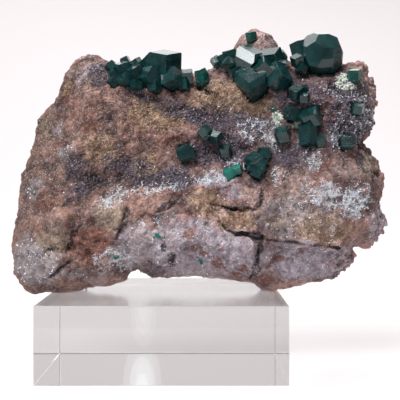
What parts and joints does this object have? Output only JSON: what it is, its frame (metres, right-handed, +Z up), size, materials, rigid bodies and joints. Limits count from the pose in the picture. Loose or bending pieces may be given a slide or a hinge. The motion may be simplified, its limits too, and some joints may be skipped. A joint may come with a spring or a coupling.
{
  "type": "dioptase mineral specimen on a display block",
  "caption": "Dark green, flat-faced crystals grown on a rough pinkish brown stone that rests on a clear square display block.",
  "frame": {"origin": "centre of the display block's underside", "axes": "+Z up, +X to the right along the stone as seen from its crystal side, +Y away from that side into the stone"},
  "size_m": [0.1335, 0.08, 0.1183],
  "materials": {
    "clear_acrylic": "clear, polished, edges slightly bevelled",
    "matrix_stone": "rough, pinkish brown with ochre patches, purple-brown crystalline bands and pale sparkling crusts",
    "dioptase": "deep bluish green, glassy, see-through at thin edges"
  },
  "bodies": {
    "root": {"display_block": "clear_acrylic", "matrix": "matrix_stone", "west_crystal_cluster": "dioptase", "upper_crystal_pair": "dioptase", "knob_crystal": "dioptase", "central_crystal_cluster": "dioptase", "round_crystal_cluster": "dioptase", "east_crystal_cluster": "dioptase", "east_upper_crystals": "dioptase", "east_lower_crystal": "dioptase", "rim_upper_crystal": "dioptase", "rim_middle_crystal": "dioptase", "rim_lower_crystal": "dioptase", "west_face_crystal": "dioptase", "upper_face_twins": "dioptase", "middle_face_crystal": "dioptase", "many_faced_cluster": "dioptase", "bright_face_crystals": "dioptase"}
  },
  "joints": []
}
